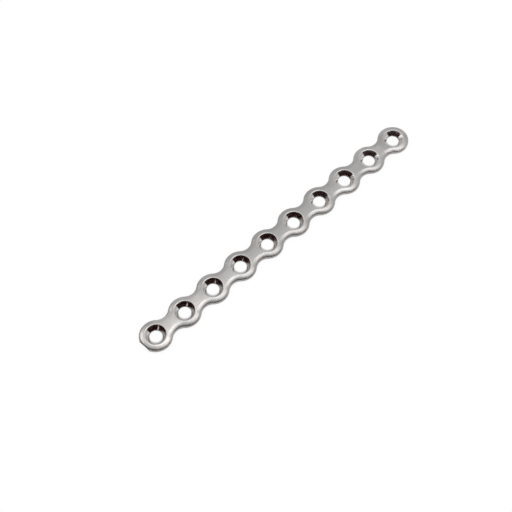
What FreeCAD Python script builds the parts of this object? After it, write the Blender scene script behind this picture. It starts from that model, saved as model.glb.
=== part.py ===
import FreeCAD, Part
import math
import os
import Sketcher
from FreeCAD import Vector

# Straight bone plate with scalloped edges, made from one strip of implant steel.
# Millimetres. X runs along the row of holes, Y across it, Z away from the bone.
# The origin is on the underside, in the middle of the row of holes.

SIZES = [
    ("hole_pitch", 8.0, "between neighbouring hole centres"),
    ("hole_count", 10, "screw holes in the row"),
    ("plate_thickness", 1.25, "underside to top"),
    ("lobe_radius", 3.55, "round boss about each hole, to its side wall"),
    ("waist_width", 4.1, "across the narrowest place between two holes"),
    ("shoulder_width", 0.8, "bevel along the top outline, seen from above"),
    ("shoulder_depth", 0.4, "how far the bevel falls towards the side wall"),
    ("shoulder_blend", 0.6, "radius that eases the top into the bevel"),
    ("underside_break", 0.12, "chamfer along the bottom outline"),
    ("end_cut", 0.35, "taken off the round of the first lobe"),
    ("cut_angle", 3.0, "how far the cut is from square, in degrees"),
    ("bore_radius", 1.375, "the land that the screw's neck passes"),
    ("sink_radius", 2.3, "mouth of the countersink, before its rim is broken"),
    ("sink_angle", 90.0, "full angle of the countersink, in degrees"),
    ("rim_break", 0.1, "chamfer of the countersink's rim"),
]

# What follows from the sizes.
FIRST_HOLE = "-(Sizes.hole_count - 1) / 2 * Sizes.hole_pitch"
WAIST_ARC = (
    "((Sizes.waist_width / 2)^2 + (Sizes.hole_pitch / 2)^2 - Sizes.lobe_radius^2)"
    " / (2 * (Sizes.lobe_radius - Sizes.waist_width / 2))"
)
SINK_FLOOR = (
    "Sizes.plate_thickness"
    " - (Sizes.sink_radius - Sizes.bore_radius) / tan(Sizes.sink_angle / 2 * 1deg)"
)
CUT_DISTANCE = "Sizes.lobe_radius - Sizes.end_cut"
CUT_LEAN = "90deg + Sizes.cut_angle * 1deg"
CUT_REACH = "Sizes.lobe_radius * 2"

ON_LEVEL = 1e-4  # how closely an edge lies on a level to count as on it
START, END, CENTRE = range(1, 4)  # the points of a line or an arc
ORIGIN_POINT, ALONG_X = -1, -1  # the sketch's own origin and its X axis

doc = FreeCAD.newDocument("BonePlate")
size = {name: value for name, value, meaning in SIZES}

sheet = doc.addObject("Spreadsheet::Sheet", "Sizes")
for row, (name, value, meaning) in enumerate(SIZES, start=1):
    sheet.set(f"A{row}", name)
    sheet.set(f"B{row}", str(value))
    sheet.set(f"C{row}", meaning)
    sheet.setAlias(f"B{row}", name)
doc.recompute()

body = doc.addObject("PartDesign::Body", "BonePlateBody")
body.Label = "bone_plate"


def origin_feature(role):
    return next(part for part in body.Origin.OriginFeatures if part.Role == role)


def new_sketch(name, plane):
    sketch = body.newObject("Sketcher::SketchObject", name)
    sketch.AttachmentSupport = [(origin_feature(plane), "")]
    sketch.MapMode = "FlatFace"
    return sketch


def new_feature(kind, name, **settings):
    """Add a feature to the body, with its settings and the sizes bound to it."""
    feature = body.newObject("PartDesign::" + kind, name)
    for key, value in settings.items():
        if isinstance(value, str) and value.startswith("="):
            feature.setExpression(key, value[1:])
        else:
            setattr(feature, key, value)
    doc.recompute()
    return feature


def worth(expression):
    return sheet.evalExpression(expression)


def tie(sketch, kind, *places):
    sketch.addConstraint(Sketcher.Constraint(kind, *places))


def drive(sketch, name, expression, kind, *places):
    """Add a measured constraint, name it and bind its value to the sheet."""
    index = sketch.addConstraint(Sketcher.Constraint(kind, *places, worth(expression)))
    sketch.renameConstraint(index, name)
    sketch.setExpression("Constraints." + name, expression)


def add_ring(sketch, x, radius, construction=False):
    return sketch.addGeometry(Part.Circle(Vector(x, 0, 0), Vector(0, 0, 1), radius), construction)


def add_arc(sketch, centre, radius, start, end):
    circle = Part.Circle(Vector(*centre, 0), Vector(0, 0, 1), radius)
    return sketch.addGeometry(Part.ArcOfCircle(circle, start, end), False)


def add_line(sketch, start, end, construction=False):
    return sketch.addGeometry(Part.LineSegment(Vector(*start, 0), Vector(*end, 0)), construction)


def add_chain(sketch, points):
    """Draw a closed chain of straight lines and join their ends."""
    lines = [add_line(sketch, *ends) for ends in zip(points, points[1:] + points[:1])]
    for line, following in zip(lines, lines[1:] + lines[:1]):
        tie(sketch, "Coincident", line, END, following, START)
    return lines


def edges_where(feature, wanted):
    """Names of the feature's edges that the test picks."""
    return [f"Edge{number}" for number, edge in enumerate(feature.Shape.Edges, start=1) if wanted(edge)]


def lies_on(edge, level):
    box = edge.BoundBox
    return abs(box.ZMin - level) < ON_LEVEL and abs(box.ZMax - level) < ON_LEVEL


def is_ring(edge, radius):
    return isinstance(edge.Curve, Part.Circle) and abs(edge.Curve.Radius - radius) < ON_LEVEL


# Where the sketches start from; their constraints then hold them to the sheet.
pitch = size["hole_pitch"]
lobe = size["lobe_radius"]
thickness = size["plate_thickness"]
first_x = worth(FIRST_HOLE)


def sketch_lobe():
    """The round boss about the first hole."""
    sketch = new_sketch("LobeOutline", "XY_Plane")
    ring = add_ring(sketch, first_x, lobe)
    tie(sketch, "PointOnObject", ring, CENTRE, ALONG_X)
    drive(sketch, "lobe", "Sizes.lobe_radius", "Radius", ring)
    drive(sketch, "first_hole", FIRST_HOLE, "DistanceX", ORIGIN_POINT, START, ring, CENTRE)
    return sketch


def sketch_waist():
    """What joins two lobes: each of its edges is an arc that touches both of them."""
    waist_arc = worth(WAIST_ARC)
    middle = first_x + pitch / 2
    rise = size["waist_width"] / 2 + waist_arc
    lean = math.atan2(rise, pitch / 2)
    touch_x, touch_y = lobe * math.cos(lean), lobe * math.sin(lean)
    left_x, right_x = first_x + touch_x, first_x + pitch - touch_x

    sketch = new_sketch("WaistOutline", "XY_Plane")
    above = add_arc(sketch, (middle, rise), waist_arc, math.pi + lean, 2 * math.pi - lean)
    below = add_arc(sketch, (middle, -rise), waist_arc, lean, math.pi - lean)
    left = add_line(sketch, (left_x, touch_y), (left_x, -touch_y))
    right = add_line(sketch, (right_x, -touch_y), (right_x, touch_y))
    near_ring = add_ring(sketch, first_x, lobe, construction=True)
    far_ring = add_ring(sketch, first_x + pitch, lobe, construction=True)

    tie(sketch, "Coincident", above, START, left, START)
    tie(sketch, "Coincident", left, END, below, END)
    tie(sketch, "Coincident", below, START, right, START)
    tie(sketch, "Coincident", right, END, above, END)
    tie(sketch, "Tangent", above, START, near_ring)
    tie(sketch, "Tangent", above, END, far_ring)
    tie(sketch, "Tangent", below, END, near_ring)
    tie(sketch, "Tangent", below, START, far_ring)
    tie(sketch, "PointOnObject", near_ring, CENTRE, ALONG_X)
    tie(sketch, "PointOnObject", far_ring, CENTRE, ALONG_X)
    tie(sketch, "Equal", near_ring, far_ring)
    tie(sketch, "Equal", above, below)
    drive(sketch, "lobe", "Sizes.lobe_radius", "Radius", near_ring)
    drive(sketch, "waist_arc", WAIST_ARC, "Radius", above)
    drive(sketch, "first_hole", FIRST_HOLE, "DistanceX", ORIGIN_POINT, START, near_ring, CENTRE)
    drive(sketch, "pitch", "Sizes.hole_pitch", "DistanceX", near_ring, CENTRE, far_ring, CENTRE)
    return sketch


def sketch_cut():
    """What the cutter took off past the first hole, a few degrees from square."""
    reach = worth(CUT_REACH)
    slant = reach * math.tan(math.radians(size["cut_angle"]))
    near = first_x - worth(CUT_DISTANCE)
    sketch = new_sketch("CutOff", "XY_Plane")
    edge, top, back, bottom = add_chain(
        sketch,
        [
            (near + slant, -reach),
            (near - slant, reach),
            (near - reach, reach),
            (near - reach, -reach),
        ],
    )
    axis = add_line(sketch, (near, 0), (first_x, 0), construction=True)
    tie(sketch, "PointOnObject", axis, START, edge)
    tie(sketch, "PointOnObject", axis, START, ALONG_X)
    tie(sketch, "PointOnObject", axis, END, ALONG_X)
    tie(sketch, "Horizontal", top)
    tie(sketch, "Horizontal", bottom)
    tie(sketch, "Vertical", back)
    drive(sketch, "first_hole", FIRST_HOLE, "DistanceX", ORIGIN_POINT, START, axis, END)
    drive(sketch, "cut", CUT_DISTANCE, "DistanceX", axis, START, axis, END)
    drive(sketch, "lean", CUT_LEAN, "Angle", edge)
    drive(sketch, "above", CUT_REACH, "DistanceY", axis, START, edge, END)
    drive(sketch, "below", CUT_REACH, "DistanceY", edge, START, axis, START)
    drive(sketch, "behind", CUT_REACH, "DistanceX", back, START, axis, START)
    return sketch


def sketch_hole():
    """Half section of one hole: the land, then the countersink up to the top."""
    bore, sink, floor = size["bore_radius"], size["sink_radius"], worth(SINK_FLOOR)
    points = [(0, 0), (bore, 0), (bore, floor), (sink, thickness), (0, thickness)]
    sketch = new_sketch("HoleSection", "XZ_Plane")
    bottom, land, cone, top, middle = add_chain(sketch, [(first_x + r, z) for r, z in points])
    axis = add_line(sketch, (first_x, 0), (first_x, thickness), construction=True)
    tie(sketch, "Coincident", axis, START, bottom, START)
    tie(sketch, "Coincident", axis, END, top, END)
    tie(sketch, "PointOnObject", bottom, START, ALONG_X)
    tie(sketch, "Horizontal", bottom)
    tie(sketch, "Horizontal", top)
    tie(sketch, "Vertical", land)
    tie(sketch, "Vertical", axis)
    drive(sketch, "first_hole", FIRST_HOLE, "DistanceX", ORIGIN_POINT, START, bottom, START)
    drive(sketch, "bore", "Sizes.bore_radius", "DistanceX", bottom, START, land, START)
    drive(sketch, "sink", "Sizes.sink_radius", "DistanceX", top, END, top, START)
    drive(sketch, "floor", SINK_FLOOR, "DistanceY", bottom, START, land, END)
    drive(sketch, "top", "Sizes.plate_thickness", "DistanceY", bottom, START, top, END)
    return sketch


def repeat(name, original, count):
    """Copies of a feature along the row, one hole pitch apart."""
    return new_feature(
        "LinearPattern",
        name,
        Originals=[original],
        Direction=(origin_feature("X_Axis"), [""]),
        Mode="Spacing",
        Offset="=Sizes.hole_pitch",
        Occurrences=count,
    )


lobe_pad = new_feature("Pad", "Lobe", Profile=sketch_lobe(), Length="=Sizes.plate_thickness")
lobe_row = repeat("LobeRow", lobe_pad, "=Sizes.hole_count")
body.Tip = lobe_row
waist_pad = new_feature("Pad", "Waist", Profile=sketch_waist(), Length="=Sizes.plate_thickness")
waist_row = repeat("WaistRow", waist_pad, "=Sizes.hole_count - 1")
body.Tip = waist_row

outline = edges_where(waist_row, lambda edge: lies_on(edge, thickness))
shoulder = new_feature(
    "Chamfer",
    "Shoulder",
    Base=(waist_row, outline),
    ChamferType="Two distances",
    Size="=Sizes.shoulder_depth",
    Size2="=Sizes.shoulder_width",
)
crest = edges_where(shoulder, lambda edge: lies_on(edge, thickness))
eased = new_feature("Fillet", "ShoulderBlend", Base=(shoulder, crest), Radius="=Sizes.shoulder_blend")
foot = edges_where(eased, lambda edge: lies_on(edge, 0))
underside = new_feature("Chamfer", "Underside", Base=(eased, foot), Size="=Sizes.underside_break")

cut = new_feature("Pocket", "CutEnd", Profile=sketch_cut(), Type="ThroughAll", Reversed=True)
hole_sketch = sketch_hole()
hole = new_feature("Groove", "Hole", Profile=hole_sketch, ReferenceAxis=(hole_sketch, ["Axis0"]))
hole_row = repeat("HoleRow", hole, "=Sizes.hole_count")
body.Tip = hole_row
rims = edges_where(hole_row, lambda edge: lies_on(edge, thickness) and is_ring(edge, size["sink_radius"]))
rim = new_feature("Chamfer", "Rim", Base=(hole_row, rims), Size="=Sizes.rim_break")
body.Tip = rim
doc.recompute()

for item in doc.Objects:
    if {"Invalid", "Error"} & set(item.State):
        raise RuntimeError(item.Name + " failed: " + item.getStatusString())
steps = [waist_row, shoulder, eased, underside, cut, hole, hole_row, rim]
for earlier, later in zip(steps, steps[1:]):
    if not later.Shape.Volume < earlier.Shape.Volume:
        raise RuntimeError(later.Name + " took nothing away")
if body.Shape.isNull() or not body.Shape.isValid() or len(body.Shape.Solids) != 1:
    raise RuntimeError("the plate is not one valid solid")

print("plate volume", round(body.Shape.Volume, 3), "mm3")
os.makedirs("parts", exist_ok=True)
body.Shape.exportStep("parts/" + body.Label + ".step")
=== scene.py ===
import math

import bmesh
import bpy
from mathutils import Matrix, Vector


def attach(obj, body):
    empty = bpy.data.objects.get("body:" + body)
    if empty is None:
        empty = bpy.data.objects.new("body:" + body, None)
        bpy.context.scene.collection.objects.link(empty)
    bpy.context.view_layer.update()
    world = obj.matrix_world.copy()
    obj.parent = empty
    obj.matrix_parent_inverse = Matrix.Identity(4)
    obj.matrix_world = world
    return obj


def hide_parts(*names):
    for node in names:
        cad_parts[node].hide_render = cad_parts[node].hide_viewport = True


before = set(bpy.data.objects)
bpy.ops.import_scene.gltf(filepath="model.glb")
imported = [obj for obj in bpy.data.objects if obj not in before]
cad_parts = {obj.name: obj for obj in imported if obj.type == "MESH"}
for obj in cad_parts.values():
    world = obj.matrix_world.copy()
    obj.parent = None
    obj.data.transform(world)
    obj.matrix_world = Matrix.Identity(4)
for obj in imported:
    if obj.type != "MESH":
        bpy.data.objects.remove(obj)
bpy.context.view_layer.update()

mm = 0.001
upwards = Vector((0.0, 0.0, 1.0))
halfTurn = math.pi
quarterTurn = math.pi / 2

cameraSizes = {
    "aim": (-7.718, -0.34, 0.0),  # mm, the point on the table in the middle of the picture
    "distance": 224.23,  # mm, from that point
    "turn": 43.32,  # degrees that the view is turned from straight across the plate
    "dip": 61.30,  # degrees that it looks down
    "lens": 72.62,  # mm, on the sensor below
    "sensor": 36.0,
    "nearest": 0.01,  # metres
    "furthest": 60.0,
}


def placeCamera():
    sizes = cameraSizes
    turn, dip = math.radians(sizes["turn"]), math.radians(sizes["dip"])
    looks = Vector((math.cos(dip) * math.sin(turn), math.cos(dip) * math.cos(turn), -math.sin(dip)))
    data = bpy.data.cameras.new("camera")
    data.lens, data.sensor_width = sizes["lens"], sizes["sensor"]
    data.clip_start, data.clip_end = sizes["nearest"], sizes["furthest"]
    camera = bpy.data.objects.new("camera", data)
    camera.location = (Vector(sizes["aim"]) - looks * sizes["distance"]) * mm
    camera.rotation_euler = (quarterTurn - dip, 0.0, -turn)
    bpy.context.scene.collection.objects.link(camera)
    bpy.context.scene.camera = camera


placeCamera()
print("camera placed")


class Strand:
    # One output of a shader tree. Sums on it become Math nodes.
    def __init__(self, tree, socket=None):
        self.tree = tree
        self.socket = socket

    def node(self, kind, settings=None, sockets=None, output=0):
        made = self.tree.nodes.new(kind)
        for name, value in (settings or {}).items():
            setattr(made, name, value)
        for name, value in (sockets or {}).items():
            if isinstance(value, Strand):
                self.tree.links.new(value.socket, made.inputs[name])
            else:
                made.inputs[name].default_value = value
        return Strand(self.tree, made.outputs[output]) if made.outputs else None

    def maths(self, operation, other=0.0):
        return self.node("ShaderNodeMath", {"operation": operation}, {0: self, 1: other})

    def __add__(self, other):
        return self.maths("ADD", other)

    def __sub__(self, other):
        return self.maths("SUBTRACT", other)

    def __rsub__(self, other):
        return self * -1.0 + other

    def __mul__(self, other):
        return self.maths("MULTIPLY", other)

    def step(self, start, end):  # 0 before start, 1 after end, smooth between
        return self.node(
            "ShaderNodeMapRange",
            {"interpolation_type": "SMOOTHSTEP"},
            {"Value": self, "From Min": start, "From Max": end},
        )

    def tint(self, first, second):  # one colour where this is 0, the other where it is 1
        factor, colourA, colourB, colourOut = 0, 6, 7, 2  # the Mix node's sockets for colours
        return self.node(
            "ShaderNodeMix",
            {"data_type": "RGBA"},
            {factor: self, colourA: first, colourB: second},
            output=colourOut,
        )

    __radd__ = __add__
    __rmul__ = __mul__


def newTree(owner):
    owner.use_nodes = True
    owner.node_tree.nodes.clear()
    return Strand(owner.node_tree)


def noise(tree, place, grain, detail):
    return tree.node(
        "ShaderNodeTexNoise",
        {},
        {"Vector": place, "Scale": grain, "Detail": detail},
    )


def part(tree, vector, name):
    return tree.node("ShaderNodeSeparateXYZ", {}, {0: vector}, output=name)


def stretched(tree, place, scale):
    return tree.node("ShaderNodeMapping", {}, {"Vector": place, "Scale": scale})


steel = {
    "colour": (0.430, 0.417, 0.407, 1.0),
    "cloudAndShadeColour": (0.315, 0.306, 0.299, 1.0),  # where the polish is cloudy, and as painted shade in the middle of the plate
    "wallColour": (0.43, 0.415, 0.406, 1.0),  # the side wall is less polished
    "sinkColour": (0.57, 0.553, 0.542, 1.0),  # the countersinks are turned bright
    "mouthShadeColour": (0.40, 0.386, 0.377, 1.0),  # painted shade in a ring inside the rim
    "rimHighlightColour": (0.60, 0.584, 0.572, 1.0),  # a painted highlight on the broken edge round each hole
    "rimHighlightShare": 0.35,
    "boreShadeColour": (0.12, 0.113, 0.110, 1.0),  # painted shade on the drilled wall below them
    "sawnShadeColour": (0.19, 0.182, 0.175, 1.0),  # painted shade on the cut end
    "spotColour": (0.01, 0.009, 0.008, 1.0),
    "middleShade": 0.95,  # how much painted shade darkens the middle of the plate
    "middleShadeFrom": 4.0,  # mm from the middle, with its full share
    "middleShadeTo": 34.0,
    "rough": 0.325,
    "roughSpread": 0.08,
    "wallRough": 0.16,  # added to the top's
    "sinkRough": 0.15,
    "sinkEdge": (2.14, 2.24),  # mm from the hole's axis: each fades over these
    "mouthShadeStart": (1.80, 1.95),
    "mouthShadeEnd": (2.08, 2.18),
    "rimHighlightStart": (2.18, 2.26),
    "rimHighlightEnd": (2.38, 2.48),
    "boreShadeEdge": (1.38, 1.40),
    "uprightFacing": (0.78, 0.40),  # of the normal's Z, from a slope to a wall
    "endPlace": (-38.95, -39.10),  # mm along the plate
    "endFacing": (-0.90, -0.96),  # of the normal's X
    "cloudGrain": 190.0,  # per metre
    "cloudDetail": 4.0,
    "cloudSpread": (0.35, 0.65),
    "brushScale": (700.0, 12000.0, 12000.0),  # the polishing lines run along the plate
    "brushDetail": 2.0,
    "turnedLines": 14000.0,  # per metre of radius, the cutter's rings in the countersinks
    "turnedDetail": 1.0,
    "turnedShare": 0.4,  # their height against the brushing's
    "sawScale": (1.0, 900.0, 9000.0),
    "sawDetail": 3.0,
    "sawShare": 3.0,
    "grainDepth": 0.0000025,  # metres
    "grainStrength": 0.6,
    "spotGrain": 1300.0,
    "spotDetail": 2.0,
    "spotSpread": (0.52, 0.57),
}


def steelMaterial():
    sizes = steel
    material = bpy.data.materials.new("polished_steel")
    tree = newTree(material)
    place = tree.node("ShaderNodeTexCoord", output="Object")
    facing = tree.node("ShaderNodeTexCoord", output="Normal")
    facingX, facingZ = (part(tree, facing, name) for name in "XZ")
    alongX, acrossY = (part(tree, place, name) for name in "XY")

    def fade(value, name, unit=mm):  # 0 to 1 over the two values that the name has
        start, end = sizes[name]
        return value.step(start * unit, end * unit)

    # How far a point is from the axis of the nearest hole.
    pitch = plate["pitch"] * mm
    count = alongX * (1.0 / pitch) + 0.5 * (plate["holes"] + 1)
    fromHole = (count - count.maths("ROUND")) * pitch
    fromAxis = tree.node("ShaderNodeCombineXYZ", {}, {"X": fromHole, "Y": acrossY})
    radius = tree.node("ShaderNodeVectorMath", {"operation": "LENGTH"}, {0: fromAxis}, output="Value")
    inSink = 1.0 - fade(radius, "sinkEdge")
    inMouthShade = fade(radius, "mouthShadeStart") - fade(radius, "mouthShadeEnd")
    onRimHighlight = fade(radius, "rimHighlightStart") - fade(radius, "rimHighlightEnd")
    inBoreShade = 1.0 - fade(radius, "boreShadeEdge")
    upright = fade(facingZ.maths("ABSOLUTE"), "uprightFacing", 1.0)
    sawn = fade(alongX, "endPlace") * fade(facingX, "endFacing", 1.0)

    cloud = noise(tree, place, sizes["cloudGrain"], sizes["cloudDetail"])
    # Painted shade: the top darkens towards the middle of the plate.
    inMiddleShade = alongX.maths("ABSOLUTE").step(sizes["middleShadeTo"] * mm, sizes["middleShadeFrom"] * mm)
    clear = fade(cloud, "cloudSpread", 1.0) * (1.0 - inMiddleShade * sizes["middleShade"])
    colour = clear.tint(sizes["cloudAndShadeColour"], sizes["colour"])
    colour = upright.tint(colour, sizes["wallColour"])
    colour = inSink.tint(colour, sizes["sinkColour"])
    # Painted shade in a ring inside each countersink's rim.
    colour = inMouthShade.tint(colour, sizes["mouthShadeColour"])
    # Painted highlight on the broken edge round each hole.
    colour = (onRimHighlight * sizes["rimHighlightShare"]).tint(colour, sizes["rimHighlightColour"])
    # Painted shade on the drilled wall of each hole.
    colour = inBoreShade.tint(colour, sizes["boreShadeColour"])
    # Painted shade on the cut end.
    colour = sawn.tint(colour, sizes["sawnShadeColour"])
    # Near-black spots on the cut end.
    spots = fade(noise(tree, place, sizes["spotGrain"], sizes["spotDetail"]), "spotSpread", 1.0)
    colour = (spots * sawn).tint(colour, sizes["spotColour"])

    brush = noise(tree, stretched(tree, place, sizes["brushScale"]), 1.0, sizes["brushDetail"])
    ringPlace = tree.node("ShaderNodeCombineXYZ", {}, {"X": radius * sizes["turnedLines"]})
    rings = noise(tree, ringPlace, 1.0, sizes["turnedDetail"]) * sizes["turnedShare"]
    saw = noise(tree, stretched(tree, place, sizes["sawScale"]), 1.0, sizes["sawDetail"])
    saw = saw * sizes["sawShare"]
    height = brush + inSink * (rings - brush) + saw * sawn
    grain = tree.node(
        "ShaderNodeBump",
        {},
        {"Height": height, "Strength": sizes["grainStrength"], "Distance": sizes["grainDepth"]},
    )
    rough = brush * sizes["roughSpread"] + (sizes["rough"] - sizes["roughSpread"] * 0.5)
    rough = rough + upright * sizes["wallRough"]
    rough = rough + inSink * (sizes["sinkRough"] - rough)
    shader = tree.node(
        "ShaderNodeBsdfPrincipled",
        {},
        {"Base Color": colour, "Metallic": 1.0, "Roughness": rough, "Normal": grain},
    )
    tree.node("ShaderNodeOutputMaterial", {}, {"Surface": shader})
    return material


plate = {
    "pitch": 8.0,  # mm, as are all the lengths below
    "holes": 10,
    "thickness": 1.25,
    "lobeRadius": 3.55,
    "waistWidth": 4.1,
    "crownRadius": 30.0,  # of the top, across the plate
    "crownStep": 0.15,
    "shoulder": (  # from the side wall inwards: distance in, depth below the top, ease
        (0.0, 0.42, 0.20),
        (0.45, 0.14, 0.14),
        (0.96, 0.0, 0.09),
    ),
    "undersideEase": 0.11,
    "boreRadius": 1.375,
    "landHeight": 0.325,
    "sinkRadius": 2.32,
    "boreEase": 0.06,
    "landEase": 0.05,
    "rimEase": 0.10,
    "endCut": 3.2,  # from the first hole's centre to the cut face
    "cutAngle": 3.0,  # degrees from square
    "cutBreak": 0.05,  # the cut face's broken edge
    "margin": 0.03,  # the flat strip that keeps the flats flat beside a rounding
    "roundSteps": 6,  # faces across a rounding
    "sweepStep": 2.5,  # degrees a face along the outline
    "holeSteps": 96,
    "weld": 0.001,
    "fineWeld": 0.0001,  # at the cut face
    "sharpTurn": 30.0,  # degrees between two faces that makes their edge a sharp one
}


def drawSection(corners):
    # Joins the corners with straight edges in the XZ plane, and rounds each by its ease.
    section = bmesh.new()
    points = [section.verts.new((x, 0.0, z)) for x, z, ease in corners]
    for ends in zip(points, points[1:]):
        section.edges.new(ends)
    for point, (x, z, ease) in zip(points, corners):
        if ease:
            bmesh.ops.bevel(
                section,
                geom=[point],
                offset=ease,
                offset_type="OFFSET",
                segments=plate["roundSteps"],
                profile=0.5,
                affect="VERTICES",
                material=-1,
            )
    mesh = bpy.data.meshes.new("section")
    section.to_mesh(mesh)
    section.free()
    return mesh


def sweep(whole, section, hub, start, turn, steps, origin=None, merge=False):
    # Lays the section out from hub in the direction start, and spins it about origin.
    strip = bmesh.new()
    strip.from_mesh(section)
    bmesh.ops.rotate(strip, verts=strip.verts, cent=(0, 0, 0), matrix=Matrix.Rotation(start, 3, "Z"))
    bmesh.ops.translate(strip, verts=strip.verts, vec=hub)
    bmesh.ops.spin(
        strip,
        geom=strip.verts[:] + strip.edges[:],
        cent=hub if origin is None else origin,
        axis=upwards,
        angle=turn,
        steps=steps,
        use_merge=merge,
    )
    mesh = bpy.data.meshes.new("strip")
    strip.to_mesh(mesh)
    strip.free()
    whole.from_mesh(mesh)
    bpy.data.meshes.remove(mesh)


def closeFlat(whole, level, normal):
    # Fills the flat between the outline's open edge and the holes' open edges.
    near = plate["weld"]
    rims = [
        edge for edge in whole.edges
        if edge.is_boundary and all(abs(point.co.z - level) < near for point in edge.verts)
    ]
    made = bmesh.ops.triangle_fill(
        whole, use_beauty=True, use_dissolve=False, edges=rims, normal=normal
    )
    return [item for item in made["geom"] if isinstance(item, bmesh.types.BMFace)]


def crownTop(whole, top):
    # Slices the flat top along the plate, then lets it fall away from the row of holes.
    sizes = plate
    reach = int(sizes["lobeRadius"] / sizes["crownStep"])
    for number in range(-reach, reach + 1):
        edges = {edge for face in top for edge in face.edges}
        points = {point for face in top for point in face.verts}
        cut = bmesh.ops.bisect_plane(
            whole,
            geom=top + list(edges) + list(points),
            dist=sizes["weld"],
            plane_co=(0.0, number * sizes["crownStep"], 0.0),
            plane_no=(0.0, 1.0, 0.0),
        )
        top = [item for item in cut["geom"] if isinstance(item, bmesh.types.BMFace)]
    for point in whole.verts:
        fall = point.co.y ** 2 / (2 * sizes["crownRadius"])
        point.co.z *= 1.0 - fall / sizes["thickness"]


def makePlate():
    sizes = plate
    pitch, holes, thickness = sizes["pitch"], sizes["holes"], sizes["thickness"]
    lobe, halfWaist = sizes["lobeRadius"], sizes["waistWidth"] / 2
    waistArc = (halfWaist ** 2 + (pitch / 2) ** 2 - lobe ** 2) / (2 * (lobe - halfWaist))
    rise = halfWaist + waistArc  # from the row to the centre of a waist's arc
    lean = math.atan2(rise, pitch / 2)  # direction in which a lobe touches that arc
    margin = sizes["margin"]
    firstX = -(holes - 1) / 2 * pitch

    crestIn, _, crestEase = sizes["shoulder"][-1]
    edgeSection = drawSection([
        (lobe - sizes["undersideEase"] - margin, 0.0, 0.0),
        (lobe, 0.0, sizes["undersideEase"]),
        *((lobe - inwards, thickness - depth, ease) for inwards, depth, ease in sizes["shoulder"]),
        (lobe - crestIn - crestEase - margin, thickness, 0.0),
    ])
    bore, sink = sizes["boreRadius"], sizes["sinkRadius"]
    holeSection = drawSection([
        (bore + sizes["boreEase"] + margin, 0.0, 0.0),
        (bore, 0.0, sizes["boreEase"]),
        (bore, sizes["landHeight"], sizes["landEase"]),
        (sink, thickness, sizes["rimEase"]),
        (sink + sizes["rimEase"] + margin, thickness, 0.0),
    ])

    whole = bmesh.new()
    arc = halfTurn - 2 * lean
    arcSteps = round(math.degrees(arc) / sizes["sweepStep"])
    endArc = 2 * (halfTurn - lean)
    endSteps = round(math.degrees(endArc) / sizes["sweepStep"])
    for number in range(holes):
        hub = Vector((firstX + number * pitch, 0.0, 0.0))
        if number == 0:
            sweep(whole, edgeSection, hub, lean, endArc, endSteps)
        elif number == holes - 1:
            sweep(whole, edgeSection, hub, lean - halfTurn, endArc, endSteps)
        for side in (1, -1):
            if 0 < number < holes - 1:
                sweep(whole, edgeSection, hub, side * lean, side * arc, arcSteps)
            if number < holes - 1:
                waist = hub + Vector((pitch / 2, side * rise, 0.0))
                sweep(whole, edgeSection, hub, side * lean, side * arc, arcSteps, origin=waist)
        sweep(whole, holeSection, hub, 0.0, 2 * halfTurn, sizes["holeSteps"], merge=True)
    bmesh.ops.remove_doubles(whole, verts=whole.verts, dist=sizes["weld"])
    top = closeFlat(whole, thickness, upwards)
    closeFlat(whole, 0.0, -upwards)
    crownTop(whole, top)

    # The cutter's face. It is cut short and drawn out again with a broken edge.
    angle, cutBreak = math.radians(sizes["cutAngle"]), sizes["cutBreak"]
    outwards = Vector((-math.cos(angle), -math.sin(angle), 0.0))
    cut = bmesh.ops.bisect_plane(
        whole,
        geom=whole.verts[:] + whole.edges[:] + whole.faces[:],
        dist=sizes["fineWeld"],
        plane_co=(firstX - (sizes["endCut"] - cutBreak), 0.0, 0.0),
        plane_no=outwards,
        clear_outer=True,
    )
    cutEdges = [item for item in cut["geom_cut"] if isinstance(item, bmesh.types.BMEdge)]
    endFace = bmesh.ops.edgeloop_fill(whole, edges=cutEdges)["faces"]
    bmesh.ops.recalc_face_normals(whole, faces=whole.faces)
    bmesh.ops.inset_region(
        whole, faces=endFace, thickness=cutBreak, depth=cutBreak, use_even_offset=True
    )

    for face in whole.faces:
        face.smooth = True
    for edge in whole.edges:
        edge.smooth = edge.calc_face_angle(0.0) < math.radians(sizes["sharpTurn"])
    bmesh.ops.scale(whole, verts=whole.verts, vec=(mm, mm, mm))
    openEdges = sum(not edge.is_manifold for edge in whole.edges)
    mesh = bpy.data.meshes.new("plate")
    whole.to_mesh(mesh)
    whole.free()
    for section in (edgeSection, holeSection):
        bpy.data.meshes.remove(section)
    mesh.materials.append(steelMaterial())
    piece = bpy.data.objects.new("plate", mesh)
    bpy.context.scene.collection.objects.link(piece)
    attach(piece, "root")
    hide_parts("bone_plate")
    print("plate made:", len(mesh.polygons), "faces,", openEdges, "open edges")


makePlate()


stage = {
    "floorSize": 12.0,  # metres
    "floorColour": (0.80, 0.80, 0.80, 1.0),
    "whiteShare": 0.86,  # how much of the white backdrop covers the floor's own shade
    "ambient": 1.0,
    "white": (1.0, 1.0, 1.0, 1.0),
    "lampDistance": 0.5,  # metres
}

screens = {
    # Curved cards round the camera's side, which the countersinks reflect. Start and end are
    # degrees round the plate, base and top are metres above the table.
    "greyScreen": {"start": 90.0, "end": 122.0, "top": 0.09, "colour": (0.35, 0.34, 0.33, 1.0)},
    "dimScreen": {"start": 122.0, "end": 136.0, "top": 0.13, "colour": (0.16, 0.15, 0.145, 1.0)},
    "darkScreenFar": {"start": 136.0, "end": 152.0, "top": 0.22},
    "darkScreenLeft": {"start": 152.0, "end": 192.0, "top": 0.29},
    "darkScreenOver": {"start": 192.0, "end": 201.0, "base": 0.142, "top": 0.34},
    "darkScreenMiddle": {"start": 201.0, "end": 270.0, "top": 0.34},
    "darkScreenRight": {"start": 270.0, "end": 284.0, "top": 0.26},
    "darkScreenEnd": {"start": 284.0, "end": 304.0, "top": 0.24},
}

screenSizes = {
    "distance": 0.30,
    "base": 0.002,
    "steps": 24,
    "colour": (0.020, 0.006, 0.005, 1.0),
}

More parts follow.
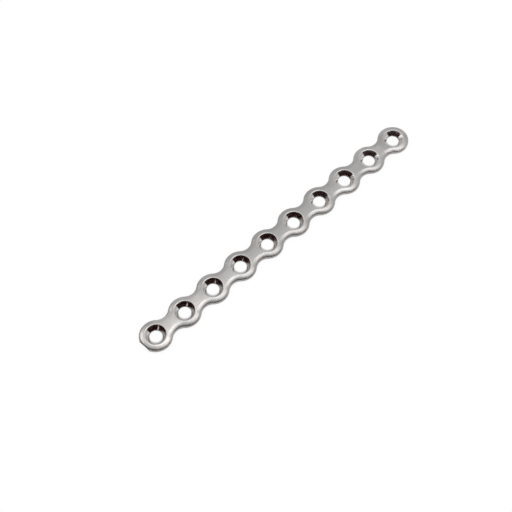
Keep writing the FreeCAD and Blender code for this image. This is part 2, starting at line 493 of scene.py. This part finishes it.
lamps = {
    # Azimuth and elevation in degrees, size in metres, light against the white backdrop's.
    "bandBox": {"azimuth": -25.0, "elevation": 74.0, "size": (0.20, 0.20), "light": 2.2},
    "lowBox": {"azimuth": -38.0, "elevation": 58.0, "size": (0.14, 0.12), "light": 1.6},
    "topBox": {"azimuth": 50.0, "elevation": 82.0, "size": (0.24, 0.24), "light": 1.5},
    "backBox": {"azimuth": 119.0, "elevation": 38.0, "size": (0.34, 0.28), "light": 1.3},
    "sideBox": {"azimuth": -58.0, "elevation": 52.0, "size": (0.28, 0.10), "light": 1.2},
}


def seenDirectly(tree):
    # 1 for what the camera, a reflection or a view through glass sees.
    kinds = ("Is Camera Ray", "Is Glossy Ray", "Is Transmission Ray")
    camera, glossy, through = (tree.node("ShaderNodeLightPath", output=kind) for kind in kinds)
    return camera + glossy + through


def makeWorld():
    world = bpy.data.worlds.new("studio")
    tree = newTree(world)
    direct = tree.node("ShaderNodeBackground", {}, {"Color": stage["white"], "Strength": 1.0})
    ambient = {"Color": stage["white"], "Strength": stage["ambient"]}
    soft = tree.node("ShaderNodeBackground", {}, ambient)
    both = tree.node("ShaderNodeMixShader", {}, {0: seenDirectly(tree), 1: soft, 2: direct})
    tree.node("ShaderNodeOutputWorld", {}, {"Surface": both})
    bpy.context.scene.world = world


def makeFloor():
    whole = bmesh.new()
    bmesh.ops.create_grid(whole, x_segments=1, y_segments=1, size=stage["floorSize"])
    mesh = bpy.data.meshes.new("floor")
    whole.to_mesh(mesh)
    whole.free()
    material = bpy.data.materials.new("white_paper")
    tree = newTree(material)
    paper = tree.node("ShaderNodeBsdfDiffuse", {}, {"Color": stage["floorColour"]})
    glow = tree.node("ShaderNodeEmission", {}, {"Color": stage["white"], "Strength": 1.0})
    share = seenDirectly(tree) * stage["whiteShare"]
    both = tree.node("ShaderNodeMixShader", {}, {0: share, 1: paper, 2: glow})
    tree.node("ShaderNodeOutputMaterial", {}, {"Surface": both})
    mesh.materials.append(material)
    floor = bpy.data.objects.new("floor", mesh)
    bpy.context.scene.collection.objects.link(floor)


def towards(azimuth, elevation):
    return Vector((
        math.cos(elevation) * math.cos(azimuth),
        math.cos(elevation) * math.sin(azimuth),
        math.sin(elevation),
    ))


def makeScreen(name, place):
    # The camera looks past a screen, and the steel reflects it.
    sizes = {**screenSizes, **place}
    start, end = math.radians(sizes["start"]), math.radians(sizes["end"])
    whole = bmesh.new()
    foot, head = (
        whole.verts.new(towards(start, 0.0) * sizes["distance"] + upwards * sizes[height])
        for height in ("base", "top")
    )
    edge = whole.edges.new((foot, head))
    bmesh.ops.spin(
        whole,
        geom=[foot, head, edge],
        cent=(0.0, 0.0, 0.0),
        axis=upwards,
        angle=end - start,
        steps=sizes["steps"],
    )
    mesh = bpy.data.meshes.new(name)
    whole.to_mesh(mesh)
    whole.free()
    material = bpy.data.materials.new(name)
    tree = newTree(material)
    paint = tree.node("ShaderNodeBsdfDiffuse", {}, {"Color": sizes["colour"]})
    tree.node("ShaderNodeOutputMaterial", {}, {"Surface": paint})
    mesh.materials.append(material)
    card = bpy.data.objects.new(name, mesh)
    card.visible_camera = False
    card.visible_diffuse = False
    card.visible_shadow = False
    bpy.context.scene.collection.objects.link(card)


def makeLamp(name, sizes):
    out = towards(math.radians(sizes["azimuth"]), math.radians(sizes["elevation"]))
    data = bpy.data.lights.new(name, "AREA")
    data.shape = "RECTANGLE"
    data.size, data.size_y = sizes["size"]
    data.energy = sizes["light"] * math.pi * data.size * data.size_y  # watts
    lamp = bpy.data.objects.new(name, data)
    lamp.location = out * stage["lampDistance"]
    lamp.rotation_euler = out.to_track_quat("Z", "Y").to_euler()
    bpy.context.scene.collection.objects.link(lamp)


makeWorld()
makeFloor()
for name, place in screens.items():
    makeScreen(name, place)
for name, sizes in lamps.items():
    makeLamp(name, sizes)
bpy.context.scene.view_settings.view_transform = "Standard"
print("stage lit")
